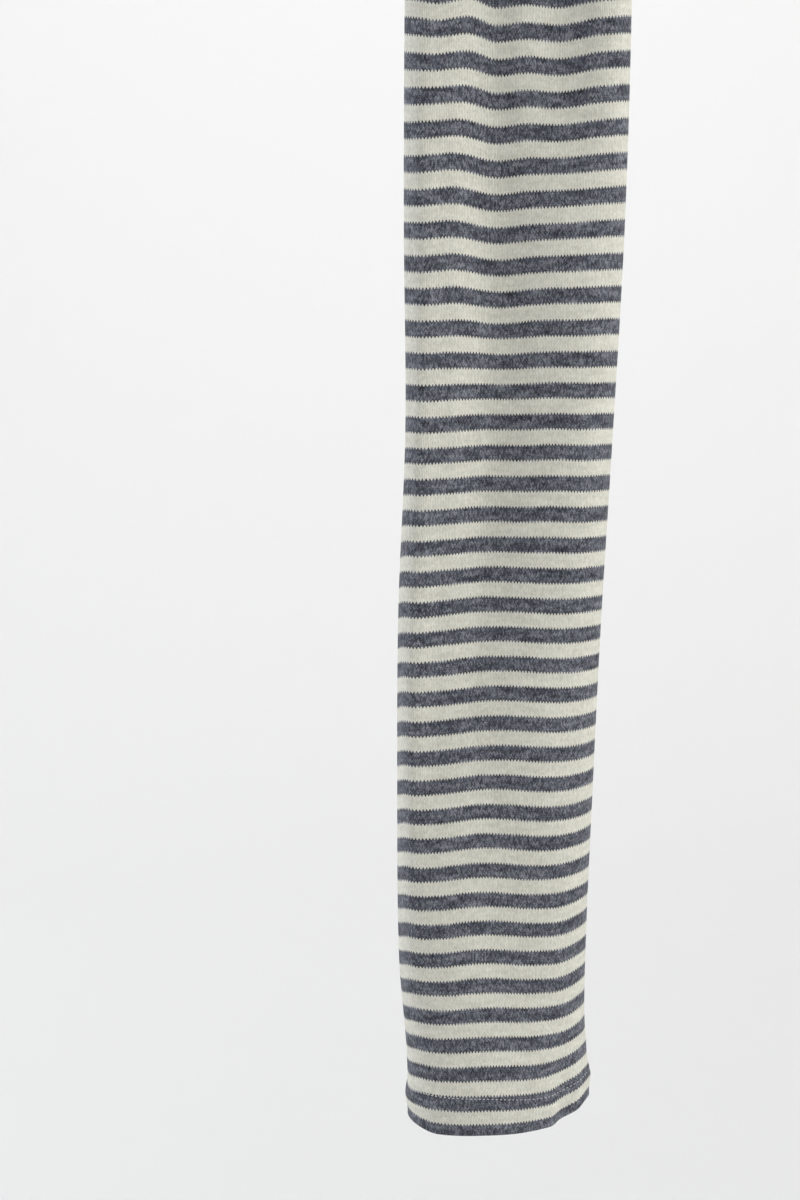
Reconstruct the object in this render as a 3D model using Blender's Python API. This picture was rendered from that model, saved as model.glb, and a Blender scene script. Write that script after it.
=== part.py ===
"""A long striped knit leg warmer, hanging empty from its top edge.

The cloth is a tube of fine jersey. It is held flat and wide at the top, opens to a
rounded oval at the ankle, and ends in a turned-up hem. Origin: centre of the top
edge. +Z is up, the front faces -Y and +X is to the right seen from the front.
Tables are in millimetres and degrees, and the meshes are made in metres.
"""

import math
from collections import namedtuple

import bmesh
import bpy
from mathutils import Vector

MM = 0.001

# Driving sizes, in millimetres
LENGTH = 612.0             # top edge to the fold of the ankle hem
WALL = 1.4                 # one layer of jersey
HEM_WALL = 2.8             # the hem is two layers, pressed together
TOP_HEM_DEPTH = 20.0
ANKLE_HEM_DEPTH = 20.4
SEAM_GAP = 0.3             # left between the tube and each hem at the stitch line
SQUARENESS = 2.4           # 2 is an ellipse, more has flatter faces and tighter edges

# Mesh steps
COLUMNS = 56               # around the tube
RING_STEP = 19.0           # down the tube, at most
TRACE_STEPS = 240          # fine points from which the columns are spaced evenly

# One row for each level of the tube, drop being the distance below the top edge
Section = namedtuple("Section", "drop half_width half_depth centre_x centre_y turn")
SECTIONS = (
    Section(0, 50.1, 12.0, -0.6, 0.0, 0.2),       # top edge, held flat
    Section(68, 51.3, 12.0, -0.3, 0.0, 0.5),
    Section(158, 51.5, 13.0, -0.5, 2.0, 4.5),
    Section(248, 49.7, 15.0, -1.6, 6.0, 6.4),     # middle
    Section(338, 49.9, 17.5, -4.8, 8.5, 6.9),
    Section(428, 49.1, 20.5, -6.2, 10.0, 8.0),
    Section(518, 48.0, 24.0, -6.8, 12.5, 10.5),   # begins to open
    Section(570, 47.0, 27.0, -5.2, 14.0, 15.0),
    Section(612, 48.8, 29.0, -3.1, 16.0, 18.5),   # fold of the ankle hem
)

# One row for each large soft fold. around is measured along the cloth from the
# middle of the front, to the right, and lean is its sideways drift per 100 of drop.
# A negative depth stands out of the cloth. crease is 0 for a round fold and 1 for a
# sharp one.
Fold = namedtuple("Fold", "name around lean half_width depth start end crease")
FOLDS = (
    Fold("front valley", -10, -0.6, 35, 7.1, -160, 560, 0.2),
    Fold("front right pinch", 18, 1.0, 20, 5.2, -120, 180, 0.0),
    Fold("right ridge", 43, 0.0, 15, -3.0, -200, 180, 0.1),
    Fold("front right ridge", 36, 0.0, 23, -2.9, 110, 400, 0.0),
    Fold("left shoulder", -32, 0.0, 17, -2.5, -200, 400, 0.0),
    Fold("left edge", -44, 0.0, 11, -4.8, -200, 660, 0.9),
    Fold("low front", 1, 0.0, 38, 3.5, 380, 600, 0.0),
    Fold("ankle corner pinch", 29, 0.0, 11, 4.1, 560, 700, 0.0),
    Fold("left back valley", -84, 1.5, 24, 3.5, -140, 330, 0.0),
    Fold("right back valley", 88, -2.0, 26, 4.0, -150, 470, 0.0),
    Fold("back ridge", 112, 1.0, 18, -1.5, 60, 420, 0.0),
    Fold("low back valley", -96, 2.0, 28, 3.5, 360, 690, 0.0),
)

# One row for each place where the courses hang lower (or, if negative, higher) than level
Bend = namedtuple("Bend", "name around half_width lower start end")
BENDS = (
    Bend("left edge", -55, 18, -3.5, -200, 130),
    Bend("left shoulder", -34, 12, 2.5, -200, 150),
    Bend("left slope", -20, 10, -2.1, -200, 150),
    Bend("left of the front valley", -25, 31, -2.9, -200, 250),
    Bend("in the front valley", -13, 20, 3.4, -200, 270),
    Bend("end of the front valley", -5, 25, 1.5, 90, 260),
    Bend("front right pinch", 18, 19, 1.9, -200, 190),
    Bend("front right ridge", 21, 20, -0.9, 200, 340),
    Bend("right edge", 49, 32, -2.3, -200, 230),
    Bend("low right edge", 56, 18, 1.6, 110, 420),
    Bend("low middle", 0, 41, -2.3, 250, 660),
    Bend("low left", -62, 18, 5.0, 130, 700),
    Bend("low right", 14, 37, 3.1, 380, 690),
    Bend("low right pinch", 31, 13, 0.7, 470, 590),
    Bend("ankle corner", 46, 19, -5.3, 560, 700),
    Bend("ankle middle", -8, 30, 0.9, 560, 700),
    Bend("ankle left corner", -50, 20, -1.4, 575, 760),
    Bend("ankle right of the middle", 16, 20, -0.9, 580, 760),
)
FADE_SHARE = 0.4           # share of a fold's length over which it fades at each end

# The plain colour of each piece is the mean of its light and dark stripes
Cloth = namedtuple("Cloth", "colour roughness")
LEG_JERSEY = Cloth((0.32, 0.325, 0.30, 1.0), 0.92)
TOP_HEM_JERSEY = Cloth((0.32, 0.325, 0.30, 1.0), 0.92)
ANKLE_HEM_JERSEY = Cloth((0.27, 0.275, 0.26, 1.0), 0.92)


def clear_scene():
    """Start from an empty scene."""
    for old in list(bpy.data.objects):
        bpy.data.objects.remove(old, do_unlink=True)


def section_at(drop):
    """The tube's section at this drop, on a smooth curve through the rows."""
    last = len(SECTIONS) - 2
    row = 0
    while row < last and drop > SECTIONS[row + 1].drop:
        row += 1
    low, high = SECTIONS[row], SECTIONS[row + 1]
    before = SECTIONS[max(row - 1, 0)]
    after = SECTIONS[min(row + 2, last + 1)]
    span = high.drop - low.drop
    t = (drop - low.drop) / span
    values = [drop]
    for column in range(1, len(Section._fields)):
        slope_low = (high[column] - before[column]) / (high.drop - before.drop) * span
        slope_high = (after[column] - low[column]) / (after.drop - low.drop) * span
        values.append(
            (2 * t**3 - 3 * t**2 + 1) * low[column]
            + (t**3 - 2 * t**2 + t) * slope_low
            + (3 * t**2 - 2 * t**3) * high[column]
            + (t**3 - t**2) * slope_high
        )
    return Section(*values)


def bell(distance, half_width, crease=0.0):
    """1 at the middle of a fold and 0 at its edges, round or creased in the middle."""
    if abs(distance) >= half_width:
        return 0.0
    share = abs(distance) / half_width
    return (1 - crease) * (0.5 + 0.5 * math.cos(math.pi * share)) + crease * (1 - share) ** 2


def fade(drop, start, end):
    """How far a fold that runs from start to end is there at this drop, 0 to 1."""
    ramp = FADE_SHARE * (end - start)
    share = min((drop - start) / ramp, (end - drop) / ramp, 1.0)
    if share <= 0.0:
        return 0.0
    return share * share * (3 - 2 * share)


def wrap(distance, girth):
    """A distance around the tube, brought to within half a girth."""
    return (distance + girth / 2) % girth - girth / 2


def fold_depth(around, drop, girth):
    """How far the folds push the cloth in at this place."""
    total = 0.0
    for fold in FOLDS:
        middle = fold.around + fold.lean * drop / 100
        reach = bell(wrap(around - middle, girth), fold.half_width, fold.crease)
        total += fold.depth * reach * fade(drop, fold.start, fold.end)
    return total


def course_drop(around, drop, girth):
    """How far the course at this drop really hangs below the top edge."""
    total = drop
    for bend in BENDS:
        reach = bell(wrap(around - bend.around, girth), bend.half_width)
        total += bend.lower * reach * fade(drop, bend.start, bend.end)
    return total


def traced_outline(section):
    """The plain section as fine points from the back middle, leftwards, and their runs."""
    points = []
    for step in range(TRACE_STEPS + 1):
        angle = math.pi / 2 + 2 * math.pi * step / TRACE_STEPS
        cosine, sine = math.cos(angle), math.sin(angle)
        x = section.half_width * math.copysign(abs(cosine) ** (2 / SQUARENESS), cosine)
        y = section.half_depth * math.copysign(abs(sine) ** (2 / SQUARENESS), sine)
        points.append((x, y))
    runs = [0.0]
    for start, end in zip(points, points[1:]):
        runs.append(runs[-1] + math.dist(start, end))
    return points, runs


def even_columns(section):
    """COLUMNS points evenly spaced around the section, with their place around."""
    points, runs = traced_outline(section)
    girth = runs[-1]
    columns = []
    step = 0
    for column in range(COLUMNS):
        run = girth * column / COLUMNS
        while runs[step + 1] < run:
            step += 1
        share = (run - runs[step]) / (runs[step + 1] - runs[step])
        x = points[step][0] + share * (points[step + 1][0] - points[step][0])
        y = points[step][1] + share * (points[step + 1][1] - points[step][1])
        columns.append((x, y, run - girth / 2))
    return columns, girth


def outward_normals(points):
    """Unit normals in the section's plane, pointing out of a left-handed round."""
    normals = []
    for index, point in enumerate(points):
        before = points[index - 1]
        after = points[(index + 1) % len(points)]
        along_x, along_y = after[0] - before[0], after[1] - before[1]
        size = math.hypot(along_x, along_y)
        normals.append((along_y / size, -along_x / size))
    return normals


def ring(drop, inset):
    """One course around the tube, moved inset into the cloth from its outer face."""
    section = section_at(drop)
    columns, girth = even_columns(section)
    plain = [(x, y) for x, y, _ in columns]
    folded = []
    for (x, y, around), (out_x, out_y) in zip(columns, outward_normals(plain)):
        depth = fold_depth(around, drop, girth)
        folded.append((x - out_x * depth, y - out_y * depth))
    turn = math.radians(section.turn)
    cosine, sine = math.cos(turn), math.sin(turn)
    course = []
    for (x, y), (out_x, out_y), column in zip(folded, outward_normals(folded), columns):
        x -= out_x * inset
        y -= out_y * inset
        course.append(Vector((
            section.centre_x + x * cosine - y * sine,
            section.centre_y + x * sine + y * cosine,
            -course_drop(column[2], drop, girth),
        )) * MM)
    return course


def even_drops(start, end):
    """Drops from start to end, evenly spaced and at most RING_STEP apart."""
    count = math.ceil((end - start) / RING_STEP)
    return [start + (end - start) * step / count for step in range(count + 1)]


def wall_profile(start, end, thickness):
    """A plain wall: (drop, inset) down its outer face and back up its inner face."""
    drops = even_drops(start, end)
    outer = [(drop, 0.0) for drop in drops]
    inner = [(drop, thickness) for drop in reversed(drops)]
    return outer + inner


def hem_profile(stitch, fold, thickness):
    """A turned hem: down the outer face, round the fold and back up the inner face."""
    radius = thickness / 2
    towards = math.copysign(1.0, fold - stitch)
    middle = (stitch + fold) / 2
    profile = [(stitch, 0.0), (middle, 0.0)]
    for angle in (0, 45, 90, 135, 180):
        reach = radius * math.sin(math.radians(angle))
        inset = radius * (1 - math.cos(math.radians(angle)))
        profile.append((fold - towards * (radius - reach), inset))
    profile += [(middle, thickness), (stitch, thickness)]
    return profile


def knit_material(name, cloth):
    """The cloth's own plain material, since its stripes are colour alone."""
    material = bpy.data.materials.new(name)
    material.use_nodes = True
    shader = material.node_tree.nodes["Principled BSDF"]
    shader.inputs["Base Color"].default_value = cloth.colour
    shader.inputs["Roughness"].default_value = cloth.roughness
    shader.inputs["Metallic"].default_value = 0.0
    return material


def build_band(name, profile, material):
    """A closed band of cloth: a ring for each point of the profile, joined in turn."""
    mesh = bmesh.new()
    rings = []
    for drop, inset in profile:
        rings.append([mesh.verts.new(point) for point in ring(drop, inset)])
    for index, upper in enumerate(rings):
        lower = rings[(index + 1) % len(rings)]
        for column in range(COLUMNS):
            following = (column + 1) % COLUMNS
            mesh.faces.new((upper[column], lower[column], lower[following], upper[following]))
    bmesh.ops.recalc_face_normals(mesh, faces=mesh.faces)
    data = bpy.data.meshes.new(name)
    mesh.to_mesh(data)
    mesh.free()
    data.shade_smooth()
    data.set_sharp_from_angle(angle=math.radians(50))
    data.materials.append(material)
    band = bpy.data.objects.new(name, data)
    bpy.context.collection.objects.link(band)
    return band


def build_leg_warmer():
    """The tube of jersey and the hem that finishes each end."""
    half_gap = SEAM_GAP / 2
    top_stitch = TOP_HEM_DEPTH
    ankle_stitch = LENGTH - ANKLE_HEM_DEPTH
    build_band(
        "leg_tube",
        wall_profile(top_stitch + half_gap, ankle_stitch - half_gap, WALL),
        knit_material("leg_jersey", LEG_JERSEY),
    )
    build_band(
        "top_hem",
        hem_profile(top_stitch - half_gap, 0.0, HEM_WALL),
        knit_material("top_hem_jersey", TOP_HEM_JERSEY),
    )
    build_band(
        "ankle_hem",
        hem_profile(ankle_stitch + half_gap, LENGTH, HEM_WALL),
        knit_material("ankle_hem_jersey", ANKLE_HEM_JERSEY),
    )


clear_scene()
build_leg_warmer()
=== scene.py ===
import math
from collections import namedtuple

import bpy
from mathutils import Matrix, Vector


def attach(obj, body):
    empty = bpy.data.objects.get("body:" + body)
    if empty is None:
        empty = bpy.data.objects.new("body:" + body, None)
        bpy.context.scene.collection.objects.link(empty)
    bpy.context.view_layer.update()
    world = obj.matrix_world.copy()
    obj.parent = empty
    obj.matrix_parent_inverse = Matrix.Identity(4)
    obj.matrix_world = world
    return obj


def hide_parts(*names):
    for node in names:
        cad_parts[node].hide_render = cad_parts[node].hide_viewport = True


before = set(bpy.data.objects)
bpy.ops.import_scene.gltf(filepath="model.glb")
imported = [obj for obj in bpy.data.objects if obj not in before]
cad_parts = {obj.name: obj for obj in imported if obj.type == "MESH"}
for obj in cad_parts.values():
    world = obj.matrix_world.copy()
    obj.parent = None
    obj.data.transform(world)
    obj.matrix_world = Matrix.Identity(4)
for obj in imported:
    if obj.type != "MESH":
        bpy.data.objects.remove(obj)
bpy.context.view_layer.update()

MM = 0.001
bpy.ops.object.select_all(action="DESELECT")


# Camera: a 72 mm lens about 1.1 m in front of the leg warmer, level with its upper
# part and tipped down, so that the ankle is seen from above. The top edge is out of
# the frame, as in the photo.
camera_data = bpy.data.cameras.new("camera")
camera_data.lens = 72
camera_data.sensor_width = 36
camera_data.clip_start = 0.05
camera_data.clip_end = 30
camera = bpy.data.objects.new("camera", camera_data)
bpy.context.collection.objects.link(camera)
camera.location = (-53.6 * MM, -1119 * MM, -39.6 * MM)
camera.rotation_euler = (math.radians(90 - 14.8), 0, 0)
bpy.context.scene.camera = camera
bpy.context.scene.view_settings.view_transform = "Standard"


# Studio: a round white room, its floor curving up into the wall, with the leg warmer
# hanging well clear of both. Broad soft lights stand to the right of the front and to
# the left, and a third shines on the wall behind.
ROOM_RADIUS = 4.6
ROOM_CENTRE = -1.0         # in front of the leg warmer
FLOOR_DROP = 1.15          # below the top edge
WALL_HEIGHT = 3.4
CORNER_RADIUS = 1.9        # where the floor curves up
ROOM_SIDES = 128
CORNER_STEPS = 24


def linear(code):
    """An sRGB hex colour such as '#c8c4b4' as linear red, green, blue and alpha."""
    parts = [int(code[place:place + 2], 16) / 255 for place in (1, 3, 5)]
    turned = [p / 12.92 if p <= 0.04045 else ((p + 0.055) / 1.055) ** 2.4 for p in parts]
    return (*turned, 1.0)


bpy.ops.mesh.primitive_circle_add(
    vertices=ROOM_SIDES, radius=ROOM_RADIUS, fill_type="NGON",
    location=(0, ROOM_CENTRE, -FLOOR_DROP),
)
room = bpy.context.object
room.name = "room"
bpy.ops.object.transform_apply(location=True)
bpy.ops.object.mode_set(mode="EDIT")
bpy.ops.mesh.select_mode(type="EDGE")
bpy.ops.mesh.select_all(action="SELECT")
bpy.ops.mesh.extrude_edges_move(TRANSFORM_OT_translate={"value": (0, 0, WALL_HEIGHT)})
bpy.ops.mesh.select_all(action="DESELECT")
bpy.ops.object.mode_set(mode="OBJECT")
for edge in room.data.edges:
    ends = [room.data.vertices[index].co.z for index in edge.vertices]
    edge.select = max(ends) < -FLOOR_DROP + MM    # the rim of the floor
bpy.ops.object.mode_set(mode="EDIT")
bpy.ops.mesh.bevel(offset=CORNER_RADIUS, segments=CORNER_STEPS, affect="EDGES")
bpy.ops.mesh.select_all(action="SELECT")
bpy.ops.mesh.normals_make_consistent(inside=True)
bpy.ops.object.mode_set(mode="OBJECT")
room.data.shade_smooth()
room.select_set(False)

# matt emulsion paint: an even white with no highlights
room_paint = bpy.data.materials.new("matt white wall paint")
room_paint.use_nodes = True
room_shader = room_paint.node_tree.nodes["Principled BSDF"]
room_shader.inputs["Base Color"].default_value = linear("#ebebeb")
room_shader.inputs["Roughness"].default_value = 0.9
room.data.materials.append(room_paint)

# Each light's place and what it is aimed at in metres, its width, power and tint
StudioLight = namedtuple("StudioLight", "name place target width watts tint")
STUDIO_LIGHTS = (
    StudioLight("right light", (1.93, -1.21, 0.73), (0, 0, -0.3), 1.6, 49, "#fffefb"),
    StudioLight("left light", (-2.62, 0.3, 0.1), (0, 0, 0.2), 1.6, 49, "#f8faff"),
    StudioLight("wall light", (0, 1.6, 2.0), (0, 3.6, 0.9), 2.0, 36, "#fffefc"),
)
for lamp in STUDIO_LIGHTS:
    light_data = bpy.data.lights.new(lamp.name, "AREA")
    light_data.size = lamp.width
    light_data.energy = lamp.watts
    light_data.color = linear(lamp.tint)[:3]
    light = bpy.data.objects.new(lamp.name, light_data)
    bpy.context.collection.objects.link(light)
    light.location = lamp.place
    aim = Vector(lamp.target) - Vector(lamp.place)
    light.rotation_euler = aim.to_track_quat("-Z", "Y").to_euler()
    light.visible_camera = False

world = bpy.data.worlds.new("daylight from above")
bpy.context.scene.world = world
world.use_nodes = True
world.node_tree.nodes["Background"].inputs["Color"].default_value = linear("#fafbfc")
world.node_tree.nodes["Background"].inputs["Strength"].default_value = 0.39


# Leg: one panel of fine jersey in cream and heather blue-grey stripes, closed into a
# tube by a seam down the middle of the back. It hangs from its top edge, pressed
# nearly flat there, with a long soft valley left of the middle of the front.
LENGTH = 611.0             # top edge to the fold of the ankle hem, in millimetres
WALL = 1.3                 # one layer of jersey
SQUARENESS = 2.4           # of the tube's oval
TOP_STITCH = 20.0          # drop of the top hem's row of stitches
ANKLE_STITCH = 591.6       # and of the ankle hem's
WALES = 156                # columns of knit stitches around the tube
STRIPE_REPEAT = 15.0       # one dark stripe and one light one
REPEAT_COURSES = 14        # seven rows of knit stitches in each of them
COURSE = STRIPE_REPEAT / REPEAT_COURSES
COLUMNS = WALES            # mesh columns
ROW_STEP = 3.0             # mesh rows down the leg
STITCH_ROW_STEP = 0.75     # and close to a row of stitches
STITCH_ZONE = 4.5          # which is within this distance of it
TRACE_STEPS = 360          # fine points from which the columns are spaced evenly

# The tube's section at each level, drop being the distance below the top edge
Section = namedtuple("Section", "drop half_width half_depth centre_x centre_y turn")
SECTIONS = (
    Section(0, 50.1, 12.0, -0.6, 0.0, 0.2),       # top edge, held flat
    Section(68, 51.3, 12.0, -0.3, 0.0, 0.5),
    Section(158, 51.5, 13.0, -0.5, 2.0, 4.5),
    Section(248, 49.7, 15.0, -1.6, 6.0, 6.4),
    Section(338, 49.9, 17.5, -4.8, 8.5, 6.9),
    Section(428, 49.1, 20.5, -6.2, 10.0, 8.0),
    Section(518, 48.0, 24.0, -6.8, 12.5, 10.5),   # opening towards the ankle
    Section(570, 46.8, 27.0, -4.9, 14.0, 15.0),
    Section(611, 48.8, 29.0, -3.1, 16.0, 18.5),   # fold of the ankle hem
)

# around is measured along the cloth from the middle of the front to the right, and
# lean is its drift per 100 of drop. depth goes inwards, or outwards where negative.
# crease is 0 for a round fold and 1 for a sharp one.
Fold = namedtuple("Fold", "name around lean half_width depth start end crease")
FOLDS = (
    Fold("front valley", -10, -0.6, 35, 7.1, -160, 560, 0.2),
    Fold("front right pinch", 18, 1.0, 20, 5.2, -120, 180, 0.0),
    Fold("right ridge", 43, 0.0, 15, -3.0, -200, 180, 0.1),
    Fold("front right ridge", 36, 0.0, 23, -2.9, 110, 400, 0.0),
    Fold("left shoulder", -32, 0.0, 17, -2.5, -200, 400, 0.0),
    Fold("left edge", -44, 0.0, 12, -4.2, -200, 660, 0.4),
    Fold("low front", 1, 0.0, 38, 3.5, 380, 600, 0.0),
    Fold("ankle corner pinch", 29, 0.0, 11, 4.1, 560, 700, 0.0),
    Fold("ankle right edge", 56, 0.0, 22, -0.6, 556, 612, 0.0),
    Fold("left back valley", -84, 1.5, 24, 3.5, -140, 330, 0.0),
    Fold("right back valley", 88, -2.0, 26, 4.0, -150, 470, 0.0),
    Fold("back ridge", 112, 1.0, 18, -1.5, 60, 420, 0.0),
    Fold("low back valley", -96, 2.0, 28, 3.5, 360, 690, 0.0),
)

# Where the courses hang lower (or, if negative, higher) than level
Bend = namedtuple("Bend", "name around half_width lower start end")
BENDS = (
    Bend("left edge", -55, 18, -3.5, -200, 130),
    Bend("left shoulder", -34, 12, 2.5, -200, 150),
    Bend("left slope", -20, 10, -2.1, -200, 150),
    Bend("left of the front valley", -25, 31, -2.9, -200, 250),
    Bend("in the front valley", -13, 20, 3.4, -200, 270),
    Bend("end of the front valley", -5, 25, 1.5, 90, 260),
    Bend("front right pinch", 18, 19, 1.9, -200, 190),
    Bend("front right ridge", 21, 20, -0.9, 200, 340),
    Bend("right edge", 49, 32, -2.3, -200, 230),
    Bend("low right edge", 56, 18, 1.6, 110, 420),
    Bend("low middle", 0, 41, -2.3, 250, 660),
    Bend("low left", -62, 18, 5.0, 130, 700),
    Bend("low right", 14, 37, 3.1, 380, 690),
    Bend("low right pinch", 31, 13, 0.7, 470, 590),
    Bend("ankle corner", 46, 19, -5.3, 560, 700),
    Bend("ankle middle", -8, 30, 0.9, 560, 700),
    Bend("ankle left corner", -60, 18, -3.2, 588, 640),
    Bend("ankle right of the middle", 16, 20, -0.9, 580, 760),
)
FADE_SHARE = 0.4           # share of a fold's length over which it fades at each end
SEAM_GROOVE = 0.7          # depth of the seam's groove down the back
SEAM_HALF_WIDTH = 2.2
STITCH_GROOVE = 0.35       # how far a row of stitches pulls the cloth in
STITCH_PULL_WIDTH = 1.6
STITCH_SLANT = 2.1         # a row of stitches runs this much lower at the right
HEM_BULGE = 1.2            # the ankle hem stands out this far just below its stitches
BULGE_BELOW = 5.0          # most of all at this distance below them
BULGE_REACH = 11.0         # and not at all this far above or below that
HEM_EASE = 0.65            # its stripes hang this much lower than even ones
EASE_START = 556.0         # which comes on from this drop
EASE_END = 690.0           # past the fold, so that it is still whole there


def section_at(drop):
    """The tube's section at this drop, on a smooth curve through the rows."""
    last = len(SECTIONS) - 2
    row = 0
    while row < last and drop > SECTIONS[row + 1].drop:
        row += 1
    low, high = SECTIONS[row], SECTIONS[row + 1]
    before = SECTIONS[max(row - 1, 0)]
    after = SECTIONS[min(row + 2, last + 1)]
    span = high.drop - low.drop
    t = (drop - low.drop) / span
    values = [drop]
    for column in range(1, len(Section._fields)):
        slope_low = (high[column] - before[column]) / (high.drop - before.drop) * span
        slope_high = (after[column] - low[column]) / (after.drop - low.drop) * span
        values.append(
            (2 * t**3 - 3 * t**2 + 1) * low[column]
            + (t**3 - 2 * t**2 + t) * slope_low
            + (3 * t**2 - 2 * t**3) * high[column]
            + (t**3 - t**2) * slope_high
        )
    return Section(*values)


def bell(distance, half_width, crease=0.0):
    """1 at the middle of a fold and 0 at its edges, round or creased in the middle."""
    if abs(distance) >= half_width:
        return 0.0
    share = abs(distance) / half_width
    return (1 - crease) * (0.5 + 0.5 * math.cos(math.pi * share)) + crease * (1 - share) ** 2


def fade(drop, start, end):
    """How far a fold that runs from start to end is there at this drop, 0 to 1."""
    ramp = FADE_SHARE * (end - start)
    share = min((drop - start) / ramp, (end - drop) / ramp, 1.0)
    if share <= 0.0:
        return 0.0
    return share * share * (3 - 2 * share)


def wrap(distance, girth):
    """A distance around the tube, brought to within half a girth."""
    return (distance + girth / 2) % girth - girth / 2


def slant(around, girth):
    """How far a row of stitches runs below level at this place around the tube."""
    return STITCH_SLANT * math.sin(2 * math.pi * around / girth)


def push_in(around, drop, girth):
    """How far the folds, the back seam and the stitches push the cloth in here."""
    total = 0.0
    for fold in FOLDS:
        middle = fold.around + fold.lean * drop / 100
        reach = bell(wrap(around - middle, girth), fold.half_width, fold.crease)
        if reach:
            total += fold.depth * reach * fade(drop, fold.start, fold.end)
    total += SEAM_GROOVE * bell(wrap(around - girth / 2, girth), SEAM_HALF_WIDTH)
    for stitch in (TOP_STITCH, ANKLE_STITCH):
        row = stitch + slant(around, girth)
        total += STITCH_GROOVE * bell(drop - row, STITCH_PULL_WIDTH)
    total -= HEM_BULGE * bell(drop - ANKLE_STITCH - BULGE_BELOW, BULGE_REACH)
    return total


def course_drop(around, drop, girth):
    """How far the course at this drop really hangs below the top edge."""
    total = drop
    for bend in BENDS:
        reach = bell(wrap(around - bend.around, girth), bend.half_width)
        if reach:
            total += bend.lower * reach * fade(drop, bend.start, bend.end)
    return total


def even_columns(section):
    """Points evenly spaced around a plain section from its back middle, leftwards."""
    points = []
    for step in range(TRACE_STEPS + 1):
        angle = math.pi / 2 + 2 * math.pi * step / TRACE_STEPS
        cosine, sine = math.cos(angle), math.sin(angle)
        x = section.half_width * math.copysign(abs(cosine) ** (2 / SQUARENESS), cosine)
        y = section.half_depth * math.copysign(abs(sine) ** (2 / SQUARENESS), sine)
        points.append((x, y))
    runs = [0.0]
    for start, end in zip(points, points[1:]):
        runs.append(runs[-1] + math.dist(start, end))
    girth = runs[-1]
    columns = []
    step = 0
    for column in range(COLUMNS):
        run = girth * column / COLUMNS
        while runs[step + 1] < run:
            step += 1
        share = (run - runs[step]) / (runs[step + 1] - runs[step])
        x = points[step][0] + share * (points[step + 1][0] - points[step][0])
        y = points[step][1] + share * (points[step + 1][1] - points[step][1])
        columns.append((x, y, run - girth / 2))
    return columns, girth


def outward_normals(points):
    """Unit normals in the section's plane, pointing out of the tube."""
    normals = []
    for index in range(len(points)):
        before = points[index - 1]
        after = points[(index + 1) % len(points)]
        along_x, along_y = after[0] - before[0], after[1] - before[1]
        size = math.hypot(along_x, along_y)
        normals.append((along_y / size, -along_x / size))
    return normals


def ring(drop, inset, along_stitches=False):
    """One course around the tube in metres, inset from the cloth's outer face. It may
    run along the slant of a row of stitches."""
    section = section_at(drop)
    columns, girth = even_columns(section)
    drops = [drop] * COLUMNS
    if along_stitches:
        drops = [drop + slant(column[2], girth) for column in columns]
    folded = []
    for column, low, (out_x, out_y) in zip(columns, drops, outward_normals(columns)):
        depth = push_in(column[2], low, girth)
        folded.append((column[0] - out_x * depth, column[1] - out_y * depth))
    turn = math.radians(section.turn)
    cosine, sine = math.cos(turn), math.sin(turn)
    course = []
    for place, normal, column, low in zip(folded, outward_normals(folded), columns, drops):
        (x, y), (out_x, out_y) = place, normal
        x -= out_x * inset
        y -= out_y * inset
        course.append(Vector((
            section.centre_x + x * cosine - y * sine,
            section.centre_y + x * sine + y * cosine,
            -course_drop(column[2], low, girth),
        )) * MM)
    return course


def eased(run):
    """A length of cloth from the top edge, let down where the ankle hem hangs lower."""
    return run - HEM_EASE * fade(min(run, LENGTH), EASE_START, EASE_END)


def cloth_tube(name, path):
    """A tube of cloth through (drop, inset, run) rows, run being the length along the
    cloth from the top edge. Its UV map counts wales around and courses down."""
    points = [point for drop, inset, _ in path for point in ring(drop, inset)]
    faces = []
    uvs = []
    for row in range(len(path) - 1):
        above, below = eased(path[row][2]) / COURSE, eased(path[row + 1][2]) / COURSE
        for column in range(COLUMNS):
            following = (column + 1) % COLUMNS
            faces.append((
                row * COLUMNS + column,
                (row + 1) * COLUMNS + column,
                (row + 1) * COLUMNS + following,
                row * COLUMNS + following,
            ))
            left = WALES * column / COLUMNS
            right = WALES * (column + 1) / COLUMNS
            uvs += [left, above, left, below, right, below, right, above]
    mesh = bpy.data.meshes.new(name)
    mesh.from_pydata(points, [], faces)
    knit_map = mesh.uv_layers.new(name="knit")
    knit_map.data.foreach_set("uv", uvs)
    mesh.shade_smooth()
    piece = bpy.data.objects.new(name, mesh)
    bpy.context.collection.objects.link(piece)
    return piece


def thicken(piece, thickness):
    """Gives a sheet its real thickness, inwards from the face that shows."""
    bpy.context.view_layer.objects.active = piece
    piece.select_set(True)
    wall = piece.modifiers.new("thickness", "SOLIDIFY")
    wall.thickness = thickness
    wall.offset = -1
    wall.material_offset = 1
    wall.material_offset_rim = 0
    bpy.ops.object.modifier_apply(modifier=wall.name)
    piece.select_set(False)


def add(tree, kind, links=None, output=0, **settings):
    """Adds a node, sets it, gives each input named a value or a link, and returns one
    of its outputs."""
    made = tree.nodes.new(kind)
    for key, value in settings.items():
        setattr(made, key, value)
    for socket, value in (links or {}).items():
        if isinstance(value, bpy.types.NodeSocket):
            tree.links.new(value, made.inputs[socket])
        else:
            made.inputs[socket].default_value = value
    return made.outputs[output]


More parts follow.
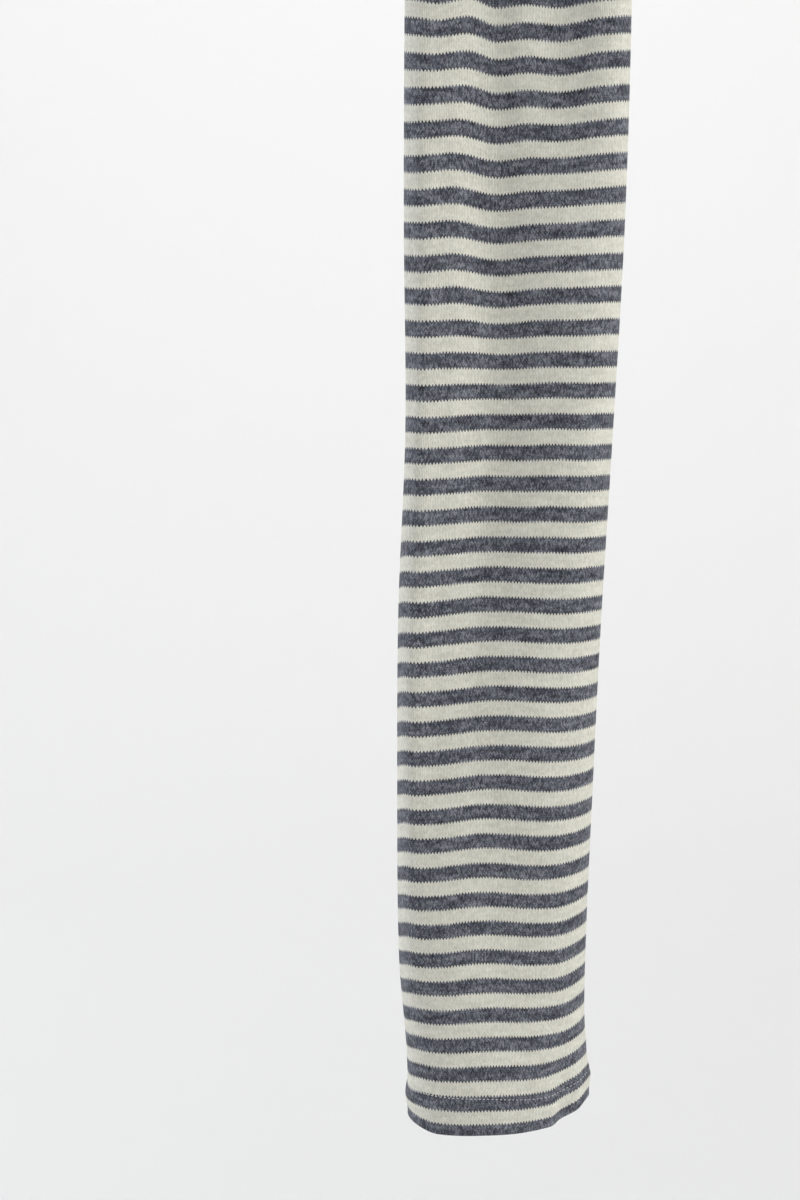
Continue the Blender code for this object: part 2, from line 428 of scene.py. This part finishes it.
CREAM = "#e6e5da"
CREAM_SHADE = "#c3c2b6"
HEATHER_DARK = "#282a31"
HEATHER = "#535660"
HEATHER_PALE = "#898c94"
DARK_SHARE = 0.49          # just under half of the repeat, so seven courses are dark
FIRST_DARK_MIDDLE = 67.5   # drop of a dark stripe near the top of the photo
FIRST_DARK = (FIRST_DARK_MIDDLE - STRIPE_REPEAT / 4) / COURSE
TOOTH = 1.05               # courses by which each knit stitch dips into the next stripe
WANDER = 1.6               # wales by which the wales wander from side to side
WAVER = 1.1                # courses by which the courses waver
SPECK_WEIGHT = 0.4         # how much the heather's tone changes with each stitch,
DRIFT_WEIGHT = 0.6         # along each course,
CLOUD_WEIGHT = 0.6         # and in soft clouds
HEATHER_LOW = 0.91         # what these add up to in the darkest flecks
HEATHER_HIGH = 1.69        # and of the palest
GROOVE_PAINTED_SHADE = 0.83        # painted shade: brightness painted on the grooves between the stitches
STITCH_TOP_PAINTED_LIGHT = 1.03        # and painted light on the stitches' tops
NECK_DEPTH = 0.45          # how far a stitch sinks at its ends, as a share of its height
STITCH_HEIGHT = 0.35       # of a stitch above its grooves
FUZZ_HEIGHT = 0.5          # of the yarn's hairiness, as a share of that

# How fast each noise changes, for each wale across and each course down. The flecks are
# coarser than real fibres, which are too fine to show.
WAVER_SCALE = (0.07, 0.05, 1)      # waves about 20 mm long
FLECK_SCALE = (0.75, 2.3, 1)       # flecks 2 mm long and 0.5 mm high
DRIFT_SCALE = (0.16, 7.31, 1)      # stretches of 9 mm, each course on its own
CLOUD_SCALE = (0.11, 0.3, 1)       # clouds 13 mm wide and 4 mm high
FUZZ_SCALE = 2.6                   # tufts of 0.5 mm


def jersey(name, reverse):
    """Fine plain jersey of carded yarn: small V stitches on the face and purl bumps on
    the reverse, which soften its light, with painted shade in the grooves between them
    and heather flecks along the dark yarn."""
    material = bpy.data.materials.new(name)
    material.use_nodes = True
    tree = material.node_tree
    shader = tree.nodes["Principled BSDF"]
    knit_map = add(tree, "ShaderNodeUVMap", uv_map="knit")
    split = tree.nodes.new("ShaderNodeSeparateXYZ")
    tree.links.new(knit_map, split.inputs[0])
    wale, course = split.outputs[0], split.outputs[1]

    # the wales wander and the courses waver a little
    slow_map = add(tree, "ShaderNodeMapping", {0: knit_map, 3: WAVER_SCALE})
    slow = add(
        tree, "ShaderNodeTexNoise",
        {"Vector": slow_map, "Scale": 1.0, "Detail": 5.0, "Roughness": 0.62}, output=1,
    )
    waver = tree.nodes.new("ShaderNodeSeparateColor")
    tree.links.new(slow, waver.inputs[0])
    wale = add(
        tree, "ShaderNodeMath",
        {0: waver.outputs[0], 1: WANDER, 2: wale}, operation="MULTIPLY_ADD",
    )
    course = add(
        tree, "ShaderNodeMath",
        {0: waver.outputs[1], 1: WAVER, 2: course}, operation="MULTIPLY_ADD",
    )

    # a wale runs from one groove to the next and has two legs, one for each half of its Vs
    wale_share = add(tree, "ShaderNodeMath", {0: wale}, operation="FRACT")
    wale_leg = add(tree, "ShaderNodeMath", {0: wale, 1: 2.0}, operation="MULTIPLY")
    wale_leg = add(tree, "ShaderNodeMath", {0: wale_leg}, operation="FLOOR")

    # each stitch dips in a rounded V
    swing = add(tree, "ShaderNodeMath", {0: wale_share, 1: 2 * math.pi}, operation="MULTIPLY")
    swing = add(tree, "ShaderNodeMath", {0: swing}, operation="COSINE")
    dip = add(
        tree, "ShaderNodeMath", {0: swing, 1: TOOTH / 2, 2: course}, operation="MULTIPLY_ADD",
    )
    course_index = add(tree, "ShaderNodeMath", {0: dip}, operation="FLOOR")
    course_share = add(tree, "ShaderNodeMath", {0: dip}, operation="FRACT")

    from_first = add(
        tree, "ShaderNodeMath",
        {0: course_index, 1: FIRST_DARK}, operation="SUBTRACT",
    )
    repeats = add(
        tree, "ShaderNodeMath", {0: from_first, 1: REPEAT_COURSES}, operation="DIVIDE",
    )
    stripe_share = add(tree, "ShaderNodeMath", {0: repeats}, operation="FRACT")
    dark = add(
        tree, "ShaderNodeMath", {0: stripe_share, 1: DARK_SHARE}, operation="LESS_THAN",
    )

    # heather: pale and dark fibres lie mixed in the yarn, so its tone changes from one
    # leg of a stitch to the next, and more slowly along each course
    stitch = add(tree, "ShaderNodeCombineXYZ", {0: wale_leg, 1: course_index})
    speck = add(tree, "ShaderNodeTexWhiteNoise", {"Vector": stitch}, noise_dimensions="2D")
    fleck_map = add(tree, "ShaderNodeMapping", {0: knit_map, 3: FLECK_SCALE})
    flecks = add(
        tree, "ShaderNodeTexNoise",
        {"Vector": fleck_map, "Scale": 1.0, "Detail": 3.0, "Roughness": 0.75},
    )
    yarn = add(tree, "ShaderNodeCombineXYZ", {0: wale, 1: course_index})
    drift_map = add(tree, "ShaderNodeMapping", {0: yarn, 3: DRIFT_SCALE})
    drift = add(
        tree, "ShaderNodeTexNoise",
        {"Vector": drift_map, "Scale": 1.0, "Detail": 2.0, "Roughness": 0.6},
    )
    cloud_map = add(tree, "ShaderNodeMapping", {0: knit_map, 3: CLOUD_SCALE})
    clouds = add(
        tree, "ShaderNodeTexNoise",
        {"Vector": cloud_map, "Scale": 1.0, "Detail": 2.0, "Roughness": 0.6},
    )
    mixed = add(
        tree, "ShaderNodeMath",
        {0: speck, 1: SPECK_WEIGHT, 2: flecks}, operation="MULTIPLY_ADD",
    )
    mixed = add(
        tree, "ShaderNodeMath",
        {0: drift, 1: DRIFT_WEIGHT, 2: mixed}, operation="MULTIPLY_ADD",
    )
    mixed = add(
        tree, "ShaderNodeMath",
        {0: clouds, 1: CLOUD_WEIGHT, 2: mixed}, operation="MULTIPLY_ADD",
    )
    blend = add(
        tree, "ShaderNodeMapRange",
        {
            "Value": mixed, "From Min": HEATHER_LOW, "From Max": HEATHER_HIGH,
            "To Min": 0.0, "To Max": 1.0,
        },
    )
    heather = tree.nodes.new("ShaderNodeValToRGB")
    tree.links.new(blend, heather.inputs[0])
    heather.color_ramp.elements[0].color = linear(HEATHER_DARK)
    heather.color_ramp.elements[0].position = 0.1
    heather.color_ramp.elements[1].color = linear(HEATHER_PALE)
    heather.color_ramp.elements[1].position = 0.9
    middle = heather.color_ramp.elements.new(0.5)
    middle.color = linear(HEATHER)

    cream = add(
        tree, "ShaderNodeMix",
        {0: blend, 6: linear(CREAM_SHADE), 7: linear(CREAM)}, output=2, data_type="RGBA",
    )
    striped = add(
        tree, "ShaderNodeMix",
        {0: dark, 6: cream, 7: heather.outputs[0]}, output=2, data_type="RGBA",
    )

    # the relief of the stitches: two legs to each V, or rows of purl bumps
    if reverse:
        off_row = add(tree, "ShaderNodeMath", {0: course_share, 1: 0.5}, operation="SUBTRACT")
        off_row = add(tree, "ShaderNodeMath", {0: off_row}, operation="ABSOLUTE")
        purl = add(tree, "ShaderNodeMath", {0: 0.5, 1: off_row}, operation="SUBTRACT")
        height = add(tree, "ShaderNodeMath", {0: purl, 1: 2.0}, operation="MULTIPLY")
    else:
        off_middle = add(tree, "ShaderNodeMath", {0: wale_share, 1: 0.5}, operation="SUBTRACT")
        off_middle = add(tree, "ShaderNodeMath", {0: off_middle}, operation="ABSOLUTE")
        leg = add(tree, "ShaderNodeMath", {0: off_middle, 1: 0.25}, operation="SUBTRACT")
        leg = add(tree, "ShaderNodeMath", {0: leg, 1: 4.0}, operation="MULTIPLY")
        leg = add(tree, "ShaderNodeMath", {0: leg, 1: 2.0}, operation="POWER")
        leg = add(tree, "ShaderNodeMath", {0: 1.0, 1: leg}, operation="SUBTRACT")
        swell = add(tree, "ShaderNodeMath", {0: course_share, 1: math.pi}, operation="MULTIPLY")
        swell = add(tree, "ShaderNodeMath", {0: swell}, operation="SINE")
        swell = add(
            tree, "ShaderNodeMath",
            {0: swell, 1: NECK_DEPTH, 2: 1 - NECK_DEPTH}, operation="MULTIPLY_ADD",
        )
        height = add(tree, "ShaderNodeMath", {0: leg, 1: swell}, operation="MULTIPLY")

    # painted shade: the grooves between the stitches are painted darker than their tops, as if
    # shade fell in them
    painted_groove_shade = add(
        tree, "ShaderNodeMapRange",
        {
            "Value": height, "From Min": 0.0, "From Max": 0.8,
            "To Min": GROOVE_PAINTED_SHADE, "To Max": STITCH_TOP_PAINTED_LIGHT,
        },
    )
    # the stripes' colour with the painted groove shade multiplied in
    colour = add(
        tree, "ShaderNodeVectorMath", {0: striped, "Scale": painted_groove_shade}, operation="SCALE",
    )
    tree.links.new(colour, shader.inputs["Base Color"])

    fuzz = add(
        tree, "ShaderNodeTexNoise",
        {"Vector": knit_map, "Scale": FUZZ_SCALE, "Detail": 3.0, "Roughness": 0.7},
    )
    relief = add(
        tree, "ShaderNodeMath",
        {0: fuzz, 1: FUZZ_HEIGHT, 2: height}, operation="MULTIPLY_ADD",
    )
    bump = add(
        tree, "ShaderNodeBump",
        {"Height": relief, "Strength": 0.55, "Distance": STITCH_HEIGHT * MM},
    )
    tree.links.new(bump, shader.inputs["Normal"])
    shader.inputs["Roughness"].default_value = 0.95
    shader.inputs["Specular IOR Level"].default_value = 0.25
    shader.inputs["Sheen Weight"].default_value = 0.15
    shader.inputs["Sheen Roughness"].default_value = 0.5
    return material


def rows_between(start, end):
    """Drops down the leg, closer together near the rows of stitches at both ends."""
    fine = round(STITCH_ZONE / STITCH_ROW_STEP)
    plain = round((end - start - 2 * STITCH_ZONE) / ROW_STEP)
    drops = [start + STITCH_ROW_STEP * step for step in range(fine)]
    inner_start, inner_end = start + STITCH_ZONE, end - STITCH_ZONE
    drops += [inner_start + (inner_end - inner_start) * s / plain for s in range(plain)]
    drops += [inner_end + STITCH_ROW_STEP * step for step in range(fine + 1)]
    return drops


jersey_face = jersey("carded jersey, face", reverse=False)
jersey_back = jersey("carded jersey, reverse", reverse=True)
leg = cloth_tube(
    "leg_cloth", [(drop, 0.0, drop) for drop in rows_between(TOP_STITCH, ANKLE_STITCH)]
)
leg.data.materials.append(jersey_face)
leg.data.materials.append(jersey_back)
thicken(leg, WALL * MM)
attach(leg, "root")
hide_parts("leg_tube")


# Ankle hem: the end of the same jersey, turned up inside and stitched once through
# both layers. The last dark stripe lies along its fold.
HEM_WALL = 2.8             # both layers of the hem
LAYER = 1.2                # one of its layers, pressed
RAW_EDGE = 3.0             # the turned edge reaches this far past the stitches
FOLD_ARC_STEPS = 8
HEM_ROW_STEP = 1.5


def hem_path(stitch, fold):
    """Rows down the outside of a hem, round its fold and back up its inside."""
    towards = math.copysign(1.0, fold - stitch)
    radius = HEM_WALL / 2
    depth = abs(fold - stitch) - radius
    count = round(depth / HEM_ROW_STEP)
    path = []
    for step in range(count):
        drop = stitch + towards * depth * step / count
        path.append((drop, 0.0, drop))
    for step in range(FOLD_ARC_STEPS + 1):
        angle = math.pi * step / FOLD_ARC_STEPS
        inset = radius * (1 - math.cos(angle))
        drop = fold - towards * radius * (1 - math.sin(angle))
        path.append((drop, inset, fold + towards * radius * (angle - math.pi / 2)))
    inner_end = stitch - towards * RAW_EDGE
    start = fold - towards * radius
    count = round(abs(inner_end - start) / HEM_ROW_STEP)
    for step in range(1, count + 1):
        drop = start + (inner_end - start) * step / count
        path.append((drop, HEM_WALL, fold + (fold - drop)))
    if towards < 0:
        path.reverse()
    return path


ankle_hem = cloth_tube("ankle_hem_cloth", hem_path(ANKLE_STITCH, LENGTH))
ankle_hem.data.materials.append(jersey_face)
ankle_hem.data.materials.append(jersey_back)
thicken(ankle_hem, LAYER * MM)
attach(ankle_hem, "root")
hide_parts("ankle_hem")


# Top hem: finished like the ankle's and a little shallower. It is above the photo, so
# it is plain.
top_hem = cloth_tube("top_hem_cloth", hem_path(TOP_STITCH, 0.0))
top_hem.data.materials.append(jersey_face)
top_hem.data.materials.append(jersey_back)
thicken(top_hem, LAYER * MM)
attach(top_hem, "root")
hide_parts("top_hem")


# Stitches of both hems: one row of pale polyester thread through both layers, with
# short bright dashes on the outside and the same inside.
THREAD = "#d8dadd"
THREAD_SHADE = "#c4c7ca"
STITCH_PITCH = 2.2         # from one stitch to the next, in millimetres
STITCH_LENGTH = 1.25       # what shows of each
THREAD_RADIUS = 0.2
THREAD_SIDES = 6
THREAD_FLECK = 0.25        # size of the flecks in its colour

# One row for each ring along a stitch: along in shares of its length, and lift out of
# the cloth and girth in shares of the thread's radius
Bow = namedtuple("Bow", "along lift girth")
STITCH_BOWS = (
    Bow(-0.5, -1.2, 0.15),     # goes down through the cloth
    Bow(-0.38, 0.1, 0.9),
    Bow(0.0, 0.6, 1.0),        # highest in its middle
    Bow(0.38, 0.1, 0.9),
    Bow(0.5, -1.2, 0.15),
)

# spun polyester: matt, slightly hairy and nearly white, so it shows as bright dashes
sewing_thread = bpy.data.materials.new("spun polyester thread")
sewing_thread.use_nodes = True
thread_tree = sewing_thread.node_tree
thread_shader = thread_tree.nodes["Principled BSDF"]
thread_place = add(thread_tree, "ShaderNodeTexCoord", output="Object")
thread_grain = add(
    thread_tree, "ShaderNodeTexNoise",
    {"Vector": thread_place, "Scale": 1 / (THREAD_FLECK * MM), "Detail": 2.0},
)
thread_tone = add(
    thread_tree, "ShaderNodeMix",
    {0: thread_grain, 6: linear(THREAD_SHADE), 7: linear(THREAD)}, output=2, data_type="RGBA",
)
thread_tree.links.new(thread_tone, thread_shader.inputs["Base Color"])
thread_shader.inputs["Roughness"].default_value = 0.55
thread_shader.inputs["Sheen Weight"].default_value = 0.2


def hem_stitches(name, stitch, side_inset):
    """A row of short threads around the tube, each bowed a little out of the cloth."""
    course = ring(stitch, side_inset, along_stitches=True)
    runs = [0.0]
    for start, end in zip(course, course[1:] + course[:1]):
        runs.append(runs[-1] + (end - start).length)
    count = round(runs[-1] / (STITCH_PITCH * MM))
    centre = sum(course, Vector()) / len(course)
    side_shown = -1 if side_inset > 0 else 1
    up = Vector((0, 0, 1))
    points, faces = [], []

    def place(run):
        """Point and direction of the row at this distance around."""
        run %= runs[-1]
        step = 0
        while runs[step + 1] < run:
            step += 1
        start, end = course[step], course[(step + 1) % len(course)]
        share = (run - runs[step]) / (runs[step + 1] - runs[step])
        return start.lerp(end, share), (end - start).normalized()

    for index in range(count):
        middle = runs[-1] * (index + 0.5) / count
        first = len(points)
        for bow in STITCH_BOWS:
            point, along = place(middle + bow.along * STITCH_LENGTH * MM)
            out = along.cross(up).normalized()
            if out.dot(point - centre) < 0:
                out = -out
            out *= side_shown
            point = point + out * bow.lift * THREAD_RADIUS * MM
            for side in range(THREAD_SIDES):
                angle = 2 * math.pi * side / THREAD_SIDES
                reach = THREAD_RADIUS * bow.girth * MM
                points.append(point + (out * math.cos(angle) + up * math.sin(angle)) * reach)
        last = first + (len(STITCH_BOWS) - 1) * THREAD_SIDES
        for low in range(first, last, THREAD_SIDES):
            for side in range(THREAD_SIDES):
                following = (side + 1) % THREAD_SIDES
                faces.append((
                    low + side,
                    low + following,
                    low + THREAD_SIDES + following,
                    low + THREAD_SIDES + side,
                ))
        faces.append(tuple(first + side for side in reversed(range(THREAD_SIDES))))
        faces.append(tuple(last + side for side in range(THREAD_SIDES)))
    mesh = bpy.data.meshes.new(name)
    mesh.from_pydata(points, [], faces)
    mesh.shade_smooth()
    piece = bpy.data.objects.new(name, mesh)
    bpy.context.collection.objects.link(piece)
    bpy.context.view_layer.objects.active = piece
    piece.select_set(True)
    bpy.ops.object.mode_set(mode="EDIT")
    bpy.ops.mesh.select_all(action="SELECT")
    bpy.ops.mesh.normals_make_consistent(inside=False)
    bpy.ops.object.mode_set(mode="OBJECT")
    piece.select_set(False)
    piece.data.materials.append(sewing_thread)
    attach(piece, "root")
    return piece


ankle_stitches = hem_stitches("ankle_hem_stitches", ANKLE_STITCH, 0.0)
ankle_stitches_inside = hem_stitches("ankle_hem_stitches_inside", ANKLE_STITCH, HEM_WALL)
top_stitches = hem_stitches("top_hem_stitches", TOP_STITCH, 0.0)
top_stitches_inside = hem_stitches("top_hem_stitches_inside", TOP_STITCH, HEM_WALL)
